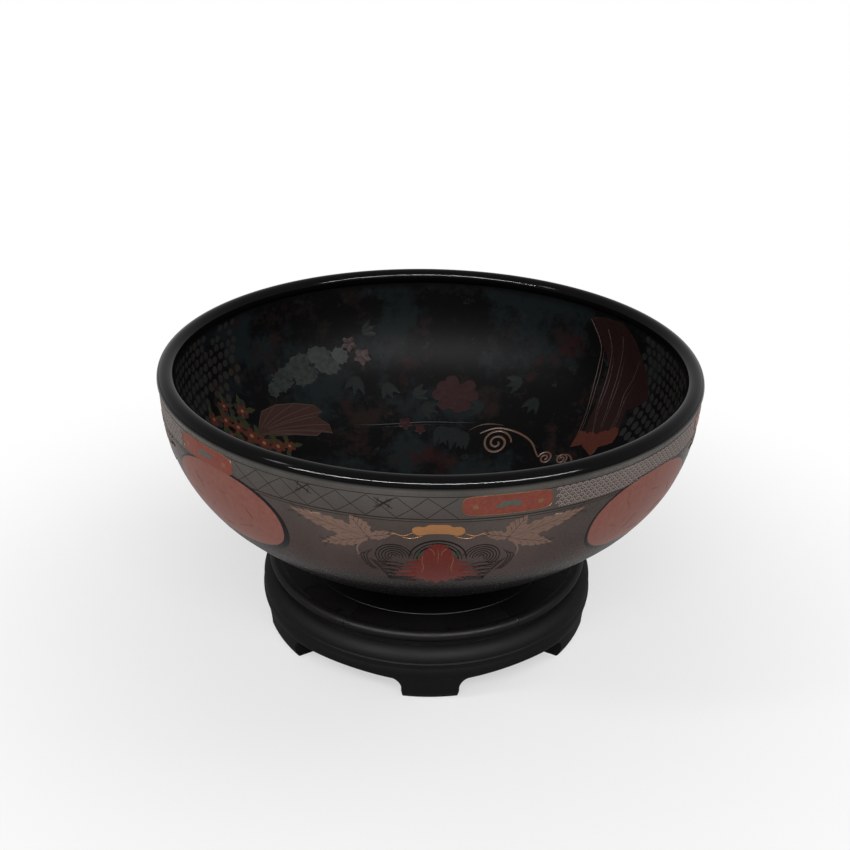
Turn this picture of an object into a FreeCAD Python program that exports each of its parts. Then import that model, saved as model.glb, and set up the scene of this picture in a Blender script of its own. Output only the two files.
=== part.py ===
import FreeCAD, Part
import math
import os

import Sketcher

# A wide lacquered bowl and the low six-legged hardwood stand that it rests on.
# Millimetres, +Z up. The origin is on the table, on the axis that the bowl and the stand share, and one
# leg faces -Y. The bowl lies in a turned seat in the stand's panel and lifts straight off.

# Driving sizes
SIZES = {
    # the bowl: its section, from the lip down to the foot ring
    "bowl_radius": 125.0,
    "lip_radius": 4.05,
    "lip_drop": 2.2,
    "wall": 6.0,
    "upper_radius": 160.0,
    "upper_angle": 5.0,
    "belly_radius": 67.5,
    "belly_angle": 44.0,
    "lower_radius": 175.0,
    "floor_radius": 38.0,
    "foot_radius": 47.0,
    "foot_height": 5.4,
    "foot_width": 6.5,
    "foot_hollow": 3.6,
    # the stand's round frame and the panel in it
    "frame_top": 33.4,
    "frame_ledge": 10.0,
    "frame_depth": 7.4,
    "rebate_radius": 72.0,
    "rebate_height": 30.4,
    "rim_overhang": 2.6,
    "rim_bead": 2.4,
    "rim_bead_turn": 35.0,
    "rim_width": 5.5,
    "groove_depth": 3.0,
    "tongue_height": 2.4,
    "tongue_step": 4.4,
    "panel_thickness": 6.2,
    "seat_depth": 1.4,
    "seat_gap": 0.6,
    "shrink_gap": 0.2,
    "joint_gap": 0.1,
    # the loose splines that join the frame's segments
    "spline_length": 12.0,
    "spline_width": 4.5,
    "spline_height": 3.0,
    # the apron and its waist
    "waist_thickness": 4.8,
    "waist_bottom": 27.4,
    "shoulder_overhang": 5.8,
    "line_height": 21.1,
    "line_width": 1.0,
    "line_depth": 0.7,
    "swell_height": 18.5,
    "swell_curve": 9.0,
    "apron_edge": 11.6,
    "apron_tuck": 0.4,
    "apron_rise": 1.9,
    # the legs
    "leg_count": 6,
    "ankle_height": 5.0,
    "ankle_tuck": 0.7,
    "foot_tuck": 3.2,
    "foot_curve": 8.0,
    "foot_inset": 5.0,
    "foot_half": 12.4,
    "ankle_half": 13.2,
    "flare_half": 17.0,
    "flare_curve": 6.0,
    "mitre_top_half": 3.6,
    "mitre_overrun": 1.0,
    "post_thickness": 6.0,
    "post_angle": 13.0,
    "tenon_half": 4.5,
    "tenon_height": 5.0,
    "tenon_width": 3.5,
    "side_tongue_bottom": 15.5,
    "side_tongue_height": 4.5,
    "side_tongue_width": 3.2,
    "side_tongue_inset": 1.6,
    "side_tongue_root": 5.0,
}

doc = FreeCAD.newDocument("bowl_and_stand")
sheet = doc.addObject("Spreadsheet::Sheet", "Sizes")
for row, (alias, size) in enumerate(SIZES.items(), start=1):
    sheet.set(f"A{row}", alias)
    sheet.set(f"B{row}", str(size))
    sheet.setAlias(f"B{row}", alias)
doc.recompute()

# Heights and radii that follow from the driving sizes
SEAT = "(Sizes.frame_top - Sizes.seat_depth)"
FRAME_BOTTOM = "(Sizes.frame_top - Sizes.frame_depth)"
FRAME_RADIUS = "(Sizes.rebate_radius - Sizes.frame_ledge)"
POST_RADIUS = "(Sizes.rebate_radius - Sizes.post_thickness)"
WAIST_RADIUS = "(Sizes.rebate_radius + Sizes.waist_thickness)"
RIM_RADIUS = f"({WAIST_RADIUS} + Sizes.rim_overhang)"
SHOULDER_RADIUS = f"({WAIST_RADIUS} + Sizes.shoulder_overhang)"
EDGE_RADIUS = f"({SHOULDER_RADIUS} - Sizes.apron_tuck)"
ANKLE_RADIUS = f"({SHOULDER_RADIUS} - Sizes.ankle_tuck)"
STEP = "(360 deg / Sizes.leg_count)"
LEG_COUNT = int(SIZES["leg_count"])
STEP_DEGREES = 360.0 / LEG_COUNT
FRONT_DEGREES = -90.0


def number(expression):
    """The value that an expression has now."""
    return float(sheet.evalExpression(expression))


def draw(sketch, corners):
    """Draws a closed outline and ties each corner to the sheet.

    A corner is (across, up), or (across, up, radius, turn) where the edge that arrives there is an arc:
    turn 1 has the arc's centre on the left of the way round and -1 has it on the right.
    """
    places = [FreeCAD.Vector(number(corner[0]), number(corner[1]), 0) for corner in corners]
    ends = []
    for index, corner in enumerate(corners):
        start = places[index - 1]
        end = places[index]
        if len(corner) == 2:
            edge = sketch.addGeometry(Part.LineSegment(start, end), False)
            ends.append((edge, 1, 2))
            continue
        radius = number(corner[2])
        turn = corner[3]
        half = (end - start) * 0.5
        left = FreeCAD.Vector(-half.y, half.x, 0).normalize()
        centre = start + half + left * (turn * math.sqrt(radius ** 2 - half.Length ** 2))
        first = start if turn > 0 else end
        last = end if turn > 0 else start
        begin = math.atan2(first.y - centre.y, first.x - centre.x)
        finish = math.atan2(last.y - centre.y, last.x - centre.x)
        if finish < begin:
            finish += 2 * math.pi
        circle = Part.Circle(centre, FreeCAD.Vector(0, 0, 1), radius)
        edge = sketch.addGeometry(Part.ArcOfCircle(circle, begin, finish), False)
        ends.append((edge, 1, 2) if turn > 0 else (edge, 2, 1))
        sketch.addConstraint(Sketcher.Constraint("Radius", edge, radius))
        sketch.setExpression(f"Constraints[{sketch.ConstraintCount - 1}]", corner[2])
    for index, (edge, _, tail) in enumerate(ends):
        following, head, _ = ends[(index + 1) % len(ends)]
        sketch.addConstraint(Sketcher.Constraint("Coincident", edge, tail, following, head))
        for kind, axis, expression, value in (
            ("DistanceX", -2, corners[index][0], places[index].x),
            ("DistanceY", -1, corners[index][1], places[index].y),
        ):
            if expression == "0":
                sketch.addConstraint(Sketcher.Constraint("PointOnObject", edge, tail, axis))
                continue
            sketch.addConstraint(Sketcher.Constraint(kind, -1, 1, edge, tail, value))
            sketch.setExpression(f"Constraints[{sketch.ConstraintCount - 1}]", expression)


def plane(body, role):
    """One of the body's own origin planes."""
    return next(item for item in body.Origin.OriginFeatures if item.Role == role)


def sketch_on(body, role, name, outlines, turn="0 deg", height=None):
    """A sketch on an origin plane, turned about the body's axis or raised above the origin."""
    sketch = body.newObject("Sketcher::SketchObject", name)
    sketch.AttachmentSupport = [(plane(body, role), "")]
    sketch.MapMode = "FlatFace"
    upright = role != "XY_Plane"
    sketch.AttachmentOffset = FreeCAD.Placement(
        FreeCAD.Vector(0, 0, 0),
        FreeCAD.Rotation(FreeCAD.Vector(0, 1, 0) if upright else FreeCAD.Vector(0, 0, 1), 1.0),
    )
    sketch.setExpression("AttachmentOffset.Rotation.Angle", turn)
    if height is not None:
        sketch.setExpression("AttachmentOffset.Base.z", height)
    for outline in outlines:
        draw(sketch, outline)
    return sketch


def turned(body, name, outline, angle="360 deg"):
    """A section in the XZ plane, turned about the body's Z axis, half the angle to each side."""
    sketch = sketch_on(body, "XZ_Plane", f"{name}_section", [outline])
    feature = body.newObject("PartDesign::Revolution", name)
    feature.Profile = sketch
    feature.ReferenceAxis = (sketch, ["V_Axis"])
    feature.Midplane = True
    feature.setExpression("Angle", angle)
    return feature


def raised(body, name, outline, height, length, turn="0 deg", additive=True):
    """A block or a slot on a level plane: it rises from a height by a length."""
    sketch = sketch_on(body, "XY_Plane", f"{name}_outline", [outline], turn, height)
    feature = body.newObject("PartDesign::Pad" if additive else "PartDesign::Pocket", name)
    feature.Profile = sketch
    feature.setExpression("Length", length)
    feature.Reversed = not additive
    return feature


def cut_through(body, name, outlines, turn="0 deg"):
    """A cut along the body's X axis, or along that axis turned about Z, right through the piece."""
    sketch = sketch_on(body, "YZ_Plane", f"{name}_outline", outlines, turn)
    feature = body.newObject("PartDesign::Pocket", name)
    feature.Profile = sketch
    feature.SideType = "Symmetric"
    feature.Type = "ThroughAll"
    return feature


def block(near, far, low, high):
    """A level rectangle between two radii and two distances to the side."""
    return [(near, low), (far, low), (far, high), (near, high)]


def new_body(label):
    body = doc.addObject("PartDesign::Body", label)
    body.Label = label
    return body


def place(body, height="0", degrees=0.0):
    """Sets a finished piece at its height and turns it about the axis of the stand."""
    body.Placement = FreeCAD.Placement(
        FreeCAD.Vector(0, 0, number(height)),
        FreeCAD.Rotation(FreeCAD.Vector(0, 0, 1), degrees),
    )
    if height != "0":
        body.setExpression("Placement.Base.z", height)


# The bowl: one turned shell with a rolled lip and a foot ring, drawn as one section.
# Three arcs that meet tangentially make the outside, and the same arcs less the wall make the inside.
def build_bowl():
    body = new_body("bowl")
    lip_centre = "(Sizes.bowl_radius - Sizes.lip_radius)"
    upper = "(Sizes.upper_angle * 1 deg)"
    belly = "(Sizes.belly_angle * 1 deg)"
    top_r = f"({lip_centre} + sqrt(Sizes.lip_radius ^ 2 - Sizes.lip_drop ^ 2))"
    upper_r = f"({top_r} - Sizes.upper_radius * (1 - cos({upper})))"
    upper_drop = f"(Sizes.lip_drop + Sizes.upper_radius * sin({upper}))"
    belly_r = f"({upper_r} - Sizes.belly_radius * (cos({upper}) - cos({belly})))"
    belly_drop = f"({upper_drop} + Sizes.belly_radius * (sin({belly}) - sin({upper})))"
    centre_r = f"({belly_r} - Sizes.lower_radius * cos({belly}))"
    centre_drop = f"({belly_drop} - Sizes.lower_radius * sin({belly}))"
    foot_drop = f"({centre_drop} + sqrt(Sizes.lower_radius ^ 2 - (Sizes.foot_radius - {centre_r}) ^ 2))"
    inner_lower = "(Sizes.lower_radius - Sizes.wall)"
    floor_drop = f"({centre_drop} + sqrt({inner_lower} ^ 2 - (Sizes.floor_radius - {centre_r}) ^ 2))"
    lip_z = f"(Sizes.foot_height + {foot_drop})"
    inner_r = f"({top_r} - Sizes.wall)"
    inner_lip_drop = f"sqrt(Sizes.lip_radius ^ 2 - ({inner_r} - {lip_centre}) ^ 2)"
    turned(body, "shell", [
        ("0", "Sizes.foot_hollow"),
        ("Sizes.foot_radius - Sizes.foot_width", "Sizes.foot_hollow"),
        ("Sizes.foot_radius - Sizes.foot_width", "0"),
        ("Sizes.foot_radius", "0"),
        ("Sizes.foot_radius", "Sizes.foot_height"),
        (belly_r, f"{lip_z} - {belly_drop}", "Sizes.lower_radius", 1),
        (upper_r, f"{lip_z} - {upper_drop}", "Sizes.belly_radius", 1),
        (top_r, f"{lip_z} - Sizes.lip_drop", "Sizes.upper_radius", 1),
        ("Sizes.bowl_radius", lip_z, "Sizes.lip_radius", 1),
        (lip_centre, f"{lip_z} + Sizes.lip_radius", "Sizes.lip_radius", 1),
        (f"{lip_centre} - Sizes.lip_radius", lip_z, "Sizes.lip_radius", 1),
        (inner_r, f"{lip_z} - {inner_lip_drop}", "Sizes.lip_radius", 1),
        (f"{upper_r} - Sizes.wall * cos({upper})", f"{lip_z} - {upper_drop} + Sizes.wall * sin({upper})",
         "Sizes.upper_radius - Sizes.wall", -1),
        (f"{belly_r} - Sizes.wall * cos({belly})", f"{lip_z} - {belly_drop} + Sizes.wall * sin({belly})",
         "Sizes.belly_radius - Sizes.wall", -1),
        ("Sizes.floor_radius", f"{lip_z} - {floor_drop}", inner_lower, -1),
        ("0", f"{lip_z} - {floor_drop}"),
    ])
    place(body, SEAT)
    return body


# The panel: a round board with a tongue round its edge and a shallow turned seat for the bowl's foot.
# It floats in the frame's groove, with a little room to swell.
TONGUE_TOP = "(Sizes.frame_top - Sizes.tongue_step + Sizes.tongue_height)"
TONGUE_BOTTOM = "(Sizes.frame_top - Sizes.tongue_step)"


def build_panel():
    body = new_body("centre_panel")
    edge = f"({FRAME_RADIUS} - Sizes.shrink_gap)"
    tongue = f"({FRAME_RADIUS} + Sizes.groove_depth - Sizes.shrink_gap)"
    bottom = "(Sizes.frame_top - Sizes.panel_thickness)"
    seat_radius = "(Sizes.foot_radius + Sizes.seat_gap)"
    turned(body, "board", [
        ("0", bottom),
        (edge, bottom),
        (edge, TONGUE_BOTTOM),
        (tongue, TONGUE_BOTTOM),
        (tongue, TONGUE_TOP),
        (edge, TONGUE_TOP),
        (edge, "Sizes.frame_top"),
        (seat_radius, "Sizes.frame_top"),
        (seat_radius, SEAT),
        ("0", SEAT),
    ])
    return body


# The round frame: six curved segments with a rolled rim, end to end over the middle of each apron.
# Each is grooved inside for the panel, slotted at both ends for a loose spline, mortised for a leg's
# tenon, and rebated underneath to sit over the aprons.
SPLINE_LOW = f"({FRAME_BOTTOM} + Sizes.rebate_height - Sizes.spline_height) / 2"
SPLINE_NEAR = (
    f"(({FRAME_RADIUS} + Sizes.groove_depth + Sizes.rebate_radius - Sizes.spline_width) / 2)"
)
TENON_NEAR = f"(({POST_RADIUS} + Sizes.rebate_radius - Sizes.tenon_width) / 2)"


def build_segment(index):
    body = new_body(f"frame_segment_{index + 1}")
    bead_r = f"({RIM_RADIUS} - Sizes.rim_bead)"
    bead_z = "(Sizes.rebate_height + Sizes.rim_bead)"
    bead_turn = "(Sizes.rim_bead_turn * 1 deg)"
    groove = f"({FRAME_RADIUS} + Sizes.groove_depth)"
    turned(body, "segment", [
        (FRAME_RADIUS, FRAME_BOTTOM),
        ("Sizes.rebate_radius", FRAME_BOTTOM),
        ("Sizes.rebate_radius", "Sizes.rebate_height"),
        (bead_r, "Sizes.rebate_height"),
        (RIM_RADIUS, bead_z, "Sizes.rim_bead", 1),
        (bead_r, f"{bead_z} + Sizes.rim_bead", "Sizes.rim_bead", 1),
        (f"{bead_r} - Sizes.rim_bead * cos({bead_turn})", f"{bead_z} + Sizes.rim_bead * sin({bead_turn})",
         "Sizes.rim_bead", 1),
        (f"{RIM_RADIUS} - Sizes.rim_width", "Sizes.frame_top"),
        (FRAME_RADIUS, "Sizes.frame_top"),
        (FRAME_RADIUS, f"{TONGUE_TOP} + Sizes.joint_gap"),
        (groove, f"{TONGUE_TOP} + Sizes.joint_gap"),
        (groove, TONGUE_BOTTOM),
        (FRAME_RADIUS, TONGUE_BOTTOM),
    ], STEP)
    slot = block(
        f"{SPLINE_NEAR} - Sizes.joint_gap",
        f"{SPLINE_NEAR} + Sizes.spline_width + Sizes.joint_gap",
        "-Sizes.spline_length / 2 - Sizes.joint_gap",
        "Sizes.spline_length / 2 + Sizes.joint_gap",
    )
    for side, turn in (("left", f"{STEP} / 2"), ("right", f"-{STEP} / 2")):
        raised(body, f"{side}_slot", slot, f"{SPLINE_LOW} - Sizes.joint_gap",
               "Sizes.spline_height + 2 * Sizes.joint_gap", turn, additive=False)
    mortise = block(
        f"{TENON_NEAR} - Sizes.joint_gap",
        f"{TENON_NEAR} + Sizes.tenon_width + Sizes.joint_gap",
        "-Sizes.tenon_half - Sizes.joint_gap",
        "Sizes.tenon_half + Sizes.joint_gap",
    )
    raised(body, "mortise", mortise, FRAME_BOTTOM, "Sizes.tenon_height + Sizes.joint_gap", additive=False)
    place(body, degrees=FRONT_DEGREES + index * STEP_DEGREES)
    return body


def build_spline(index):
    body = new_body(f"frame_spline_{index + 1}")
    raised(body, "key", block(
        SPLINE_NEAR,
        f"{SPLINE_NEAR} + Sizes.spline_width",
        "-Sizes.spline_length / 2",
        "Sizes.spline_length / 2",
    ), SPLINE_LOW, "Sizes.spline_height")
    place(body, degrees=FRONT_DEGREES + (index + 0.5) * STEP_DEGREES)
    return body


# The moulded face that aprons and legs share: swelled below, a cut line, a round shoulder and the waist.
def moulding():
    low = "(Sizes.line_height - Sizes.line_width / 2)"
    high = "(Sizes.line_height + Sizes.line_width / 2)"
    shoulder = "(Sizes.waist_bottom - Sizes.line_height - Sizes.line_width / 2)"
    return [
        (SHOULDER_RADIUS, "Sizes.swell_height", "Sizes.swell_curve", 1),
        (SHOULDER_RADIUS, low),
        (f"{SHOULDER_RADIUS} - Sizes.line_depth", "Sizes.line_height"),
        (SHOULDER_RADIUS, high),
        (WAIST_RADIUS, "Sizes.waist_bottom", shoulder, 1),
        (WAIST_RADIUS, "Sizes.rebate_height"),
        ("Sizes.rebate_radius", "Sizes.rebate_height"),
    ]


# The mitred shoulder: a wedge as wide as the flare at the apron's lower edge and narrow at its top.
# The leg keeps what lies inside this outline and the aprons lose it, so the two meet along the mitre.
def shoulder_wedge():
    top = "Sizes.rebate_height + Sizes.mitre_overrun"
    return [
        ("Sizes.mitre_top_half", "Sizes.waist_bottom"),
        ("Sizes.mitre_top_half", top),
        ("-Sizes.mitre_top_half", top),
        ("-Sizes.mitre_top_half", "Sizes.waist_bottom"),
        ("-Sizes.flare_half", "Sizes.apron_edge"),
    ]


SIDE_TONGUE_NEAR = "(Sizes.rebate_radius + Sizes.side_tongue_inset)"
SIDE_TONGUE_FAR = "(Sizes.rebate_radius + Sizes.side_tongue_inset + Sizes.side_tongue_width)"


# A leg: the moulded wedge and foot in front, cut from one turned blank, and a post behind the wedge that
# rises under the frame and carries the tenon. A mortise in each mitred flank takes an apron's tongue.
def build_leg(index):
    body = new_body(f"leg_{index + 1}")
    turned(body, "blank", [
        ("Sizes.rebate_radius - Sizes.foot_inset", "0"),
        (f"{SHOULDER_RADIUS} - Sizes.foot_tuck", "0"),
        (ANKLE_RADIUS, "Sizes.ankle_height", "Sizes.foot_curve", 1),
        (EDGE_RADIUS, "Sizes.apron_edge"),
    ] + moulding() + [
        ("Sizes.rebate_radius", "Sizes.apron_edge"),
        (POST_RADIUS, "Sizes.apron_edge"),
    ], STEP)
    beyond = RIM_RADIUS
    cut_through(body, "front_outline", [
        block(f"-{beyond}", beyond, f"-{beyond}", beyond),
        [
            ("-Sizes.foot_half", "0"),
            ("Sizes.foot_half", "0"),
            ("Sizes.ankle_half", "Sizes.ankle_height"),
            ("Sizes.flare_half", "Sizes.apron_edge", "Sizes.flare_curve", -1),
        ] + shoulder_wedge() + [
            ("-Sizes.ankle_half", "Sizes.ankle_height", "Sizes.flare_curve", -1),
        ],
    ])
    turned(body, "post", [
        (POST_RADIUS, "Sizes.apron_edge"),
        ("Sizes.rebate_radius", "Sizes.apron_edge"),
        ("Sizes.rebate_radius", FRAME_BOTTOM),
        (POST_RADIUS, FRAME_BOTTOM),
    ], "1 deg * Sizes.post_angle")
    raised(body, "tenon", block(
        TENON_NEAR,
        f"{TENON_NEAR} + Sizes.tenon_width",
        "-Sizes.tenon_half",
        "Sizes.tenon_half",
    ), FRAME_BOTTOM, "Sizes.tenon_height")
    near = f"{SIDE_TONGUE_NEAR} - Sizes.joint_gap"
    far = f"{SIDE_TONGUE_FAR} + Sizes.joint_gap"
    root = "Sizes.side_tongue_root - Sizes.joint_gap"
    for side, low, high in (
        ("left", root, "Sizes.flare_half"),
        ("right", "-Sizes.flare_half", f"-({root})"),
    ):
        raised(body, f"{side}_mortise", block(near, far, low, high),
               "Sizes.side_tongue_bottom - Sizes.joint_gap",
               "Sizes.side_tongue_height + 2 * Sizes.joint_gap", additive=False)
    place(body, degrees=FRONT_DEGREES + index * STEP_DEGREES)
    return body


# An apron with its waist, moulded along one board between two legs: arched below, mitred at both ends,
# with a tongue at each end that lies square to the leg it enters.
def build_apron(index):
    body = new_body(f"apron_{index + 1}")
    turned(body, "board", [
        ("Sizes.rebate_radius", "Sizes.apron_edge"),
        (EDGE_RADIUS, "Sizes.apron_edge"),
    ] + moulding(), STEP)
    below = "-Sizes.apron_edge"
    for side, turn in (("left", f"{STEP} / 2"), ("right", f"-{STEP} / 2")):
        cut_through(body, f"{side}_mitre", [[
            ("-Sizes.flare_half", below),
            ("Sizes.flare_half", below),
            ("Sizes.flare_half", "Sizes.apron_edge"),
        ] + shoulder_wedge()], turn)
    reach = (
        f"({EDGE_RADIUS} * sin({STEP} / 2"
        f" - asin(Sizes.flare_half / {EDGE_RADIUS})))"
    )
    cut_through(body, "arch", [[
        (f"-{reach}", below),
        (reach, below),
        (reach, "Sizes.apron_edge"),
        (f"-{reach}", "Sizes.apron_edge",
         f"({reach} ^ 2 + Sizes.apron_rise ^ 2) / (2 * Sizes.apron_rise)", 1),
    ]])
    deep = "Sizes.flare_half - Sizes.joint_gap"
    for side, turn, low, high in (
        ("left", f"{STEP} / 2", f"-({deep})", "-Sizes.side_tongue_root"),
        ("right", f"-{STEP} / 2", "Sizes.side_tongue_root", deep),
    ):
        raised(body, f"{side}_tongue", block(SIDE_TONGUE_NEAR, SIDE_TONGUE_FAR, low, high),
               "Sizes.side_tongue_bottom", "Sizes.side_tongue_height", turn)
    place(body, degrees=FRONT_DEGREES + (index + 0.5) * STEP_DEGREES)
    return body


pieces = [build_bowl(), build_panel()]
for leg_index in range(LEG_COUNT):
    pieces.append(build_segment(leg_index))
    pieces.append(build_spline(leg_index))
    pieces.append(build_apron(leg_index))
    pieces.append(build_leg(leg_index))
doc.recompute()

# Every feature has to be sound before anything is written
for item in doc.Objects:
    faults = {"Invalid", "Error"} & set(item.State)
    if faults:
        raise RuntimeError(f"{item.Name} is {', '.join(sorted(faults))}")
for piece in pieces:
    shape = piece.Shape
    if shape.isNull() or not shape.isValid() or len(shape.Solids) != 1:
        raise RuntimeError(f"{piece.Label} is not one valid solid")

os.makedirs("parts", exist_ok=True)
for piece in pieces:
    piece.Shape.exportStep(f"parts/{piece.Label}.step")
    print(f"{piece.Label}: {piece.Shape.Volume:.1f} mm3")
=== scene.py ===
import math
import random

import bmesh
import bpy
from mathutils import Matrix, Vector
from mathutils.geometry import delaunay_2d_cdt


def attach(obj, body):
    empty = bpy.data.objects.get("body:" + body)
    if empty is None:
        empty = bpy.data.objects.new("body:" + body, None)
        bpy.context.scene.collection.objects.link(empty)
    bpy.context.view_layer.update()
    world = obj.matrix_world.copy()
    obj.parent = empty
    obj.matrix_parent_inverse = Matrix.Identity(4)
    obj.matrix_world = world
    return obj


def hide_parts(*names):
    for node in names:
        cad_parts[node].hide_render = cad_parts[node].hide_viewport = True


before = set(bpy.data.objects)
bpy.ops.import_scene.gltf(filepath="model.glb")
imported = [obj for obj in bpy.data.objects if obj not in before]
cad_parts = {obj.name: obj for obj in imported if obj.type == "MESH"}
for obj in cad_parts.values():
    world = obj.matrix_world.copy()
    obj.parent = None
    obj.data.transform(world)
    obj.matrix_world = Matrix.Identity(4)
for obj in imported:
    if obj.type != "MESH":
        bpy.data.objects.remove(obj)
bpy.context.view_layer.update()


# The studio: a pale floor and a white surround, a wide soft lamp and a thin strip over the camera, a small
# lamp on the left and a broad one on the right. The camera, half a metre away, looks down into the bowl.
def linear(code):
    """A colour written as sRGB hex, as the linear values that a shader takes."""
    parts = [int(code[place:place + 2], 16) / 255 for place in (1, 3, 5)]
    return tuple(p / 12.92 if p <= 0.04045 else ((p + 0.055) / 1.055) ** 2.4 for p in parts) + (1.0,)


def add(tree, kind, sockets=None, **settings):
    """Adds a node with its settings. A socket is given a value, a colour in hex, an output that feeds it,
    or a node, and then that node's first live output feeds it."""
    made = tree.nodes.new(kind)
    for name, value in settings.items():
        setattr(made, name, value)
    for name, value in (sockets or {}).items():
        if isinstance(value, bpy.types.Node):
            value = next(output for output in value.outputs if output.enabled)
        if isinstance(value, bpy.types.NodeSocket):
            tree.links.new(value, made.inputs[name])
        else:
            made.inputs[name].default_value = linear(value) if isinstance(value, str) else value
    return made


def new_material(name):
    """An empty material and its node tree."""
    material = bpy.data.materials.new(name)
    material.use_nodes = True
    material.node_tree.nodes.clear()
    return material, material.node_tree


scene = bpy.context.scene


def put(name, data):
    """A new object in the scene."""
    thing = bpy.data.objects.new(name, data)
    scene.collection.objects.link(thing)
    return thing


scene.view_settings.view_transform = "Standard"

CAMERA_PLACE = Vector((-0.01611, -0.46118, 0.32680))
CAMERA_LOOK = Vector((0.02721, 0.89652, -0.44218))
CAMERA_ROLL = math.radians(1.056)
LENS, SENSOR_WIDTH = 45.174, 36.0
camera = put("camera", bpy.data.cameras.new("camera"))
scene.camera = camera
camera.data.lens = LENS
camera.data.sensor_width = SENSOR_WIDTH
level_right = CAMERA_LOOK.cross(Vector((0, 0, 1))).normalized()
level_up = level_right.cross(CAMERA_LOOK).normalized()
right = level_right * math.cos(CAMERA_ROLL) + level_up * math.sin(CAMERA_ROLL)
up = level_up * math.cos(CAMERA_ROLL) - level_right * math.sin(CAMERA_ROLL)
turned = Matrix((right, up, -CAMERA_LOOK.normalized())).transposed().to_4x4()
camera.matrix_world = Matrix.Translation(CAMERA_PLACE) @ turned

# the surround is white to the eye and in a shine, and lights the object only softly
SURROUND_LIGHT = 0.30
scene.world = bpy.data.worlds.new("surround")
scene.world.use_nodes = True
surround = scene.world.node_tree
surround.nodes.clear()
path = add(surround, "ShaderNodeLightPath")
seen = add(surround, "ShaderNodeMath", {0: path.outputs["Is Camera Ray"], 1: path.outputs["Is Glossy Ray"]},
    operation="MAXIMUM")
seen = add(surround, "ShaderNodeMath", {0: seen, 1: path.outputs["Is Transmission Ray"]}, operation="MAXIMUM")
strength = add(surround, "ShaderNodeMapRange", {"Value": seen, "To Min": SURROUND_LIGHT, "To Max": 1.0})
glow = add(surround, "ShaderNodeBackground", {"Color": "#ffffff", "Strength": strength})
add(surround, "ShaderNodeOutputWorld", {"Surface": glow})

# the floor: matt white paper, whose shadow is kept near the bowl and fades to white towards the edges
FLOOR_HALF = 3.0
FADE_NEAR, FADE_FAR = 0.10, 0.34
FADE_LEAST = 0.55
floor_mesh = bpy.data.meshes.new("floor")
floor_mesh.from_pydata([(x * FLOOR_HALF, y * FLOOR_HALF, 0) for x, y in ((-1, -1), (1, -1), (1, 1), (-1, 1))],
    [], [(0, 1, 2, 3)])
floor = put("floor", floor_mesh)
floor_paper, tree = new_material("matt_white_paper")
on_floor = add(tree, "ShaderNodeTexCoord").outputs["Object"]
mottle = add(tree, "ShaderNodeTexNoise", {"Vector": on_floor, "Scale": 3.0})
tint = add(tree, "ShaderNodeMix", {"Factor": mottle, "A": "#fbfbfa", "B": "#f6f6f5"}, data_type="RGBA")
paper = add(tree, "ShaderNodeBsdfPrincipled", {"Base Color": tint, "Roughness": 0.9,
    "Specular IOR Level": 0.1})
away = add(tree, "ShaderNodeVectorMath", {0: on_floor}, operation="LENGTH")
fade = add(tree, "ShaderNodeMapRange", {"Value": away, "From Min": FADE_NEAR, "From Max": FADE_FAR,
    "To Min": FADE_LEAST, "To Max": 1.0}, interpolation_type="SMOOTHSTEP")
path = add(tree, "ShaderNodeLightPath")
faded = add(tree, "ShaderNodeMath", {0: fade, 1: path.outputs["Is Camera Ray"]}, operation="MULTIPLY")
white = add(tree, "ShaderNodeEmission", {"Color": "#ffffff", "Strength": 1.0})
seen_paper = add(tree, "ShaderNodeMixShader", {0: faded, 1: paper, 2: white})
add(tree, "ShaderNodeOutputMaterial", {"Surface": seen_paper})
floor_mesh.materials.append(floor_paper)

# each lamp: name, width, height, watts, where it stands, whether it lights, whether it shows in a shine;
# the long strip draws the thin white line on the lip and lights nothing
LAMPS = (
    ("soft_box_over_camera", 1.30, 0.20, 8.0, Vector((0.0, -1.05, 1.10)), True, False),
    ("strip_over_camera", 3.20, 0.03, 220.0, Vector((0.0, -1.05, 1.015)), False, True),
    ("left_window", 0.16, 0.30, 4.0, Vector((-1.15, -0.45, 1.10)), True, True),
    ("right_fill", 0.90, 0.90, 6.0, Vector((1.30, 0.10, 1.30)), True, False),
)
LAMP_AIM = Vector((0.0, 0.0, 0.09))
for lamp_name, width, height, watts, stand, lights, shows in LAMPS:
    light = bpy.data.lights.new(lamp_name, "AREA")
    light.shape = "RECTANGLE"
    light.size = width
    light.size_y = height
    light.energy = watts
    lamp = put(lamp_name, light)
    lamp.location = stand
    lamp.rotation_euler = (LAMP_AIM - stand).to_track_quat("-Z", "Y").to_euler()
    lamp.visible_diffuse = lights
    lamp.visible_glossy = shows


# The stand: six legs and six curved aprons mitred at the shoulders, under a round frame of six segments that
# meet on loose splines and hold a floating panel. Hard rosewood, stained black, waxed and rubbed with use.
MM = 0.001
# how often things repeat in a metre along and across the grain: fibres are 33 mm long and 1.4 mm wide, which
# is coarser than real ones so that they show, and pores 6 mm long and 0.4 mm wide. Hands dull the wax in
# patches of 22 mm.
FIBRES = (30.0, 700.0, 700.0)
PORES = (160.0, 2600.0, 2600.0)
HANDLING = 45.0


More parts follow.
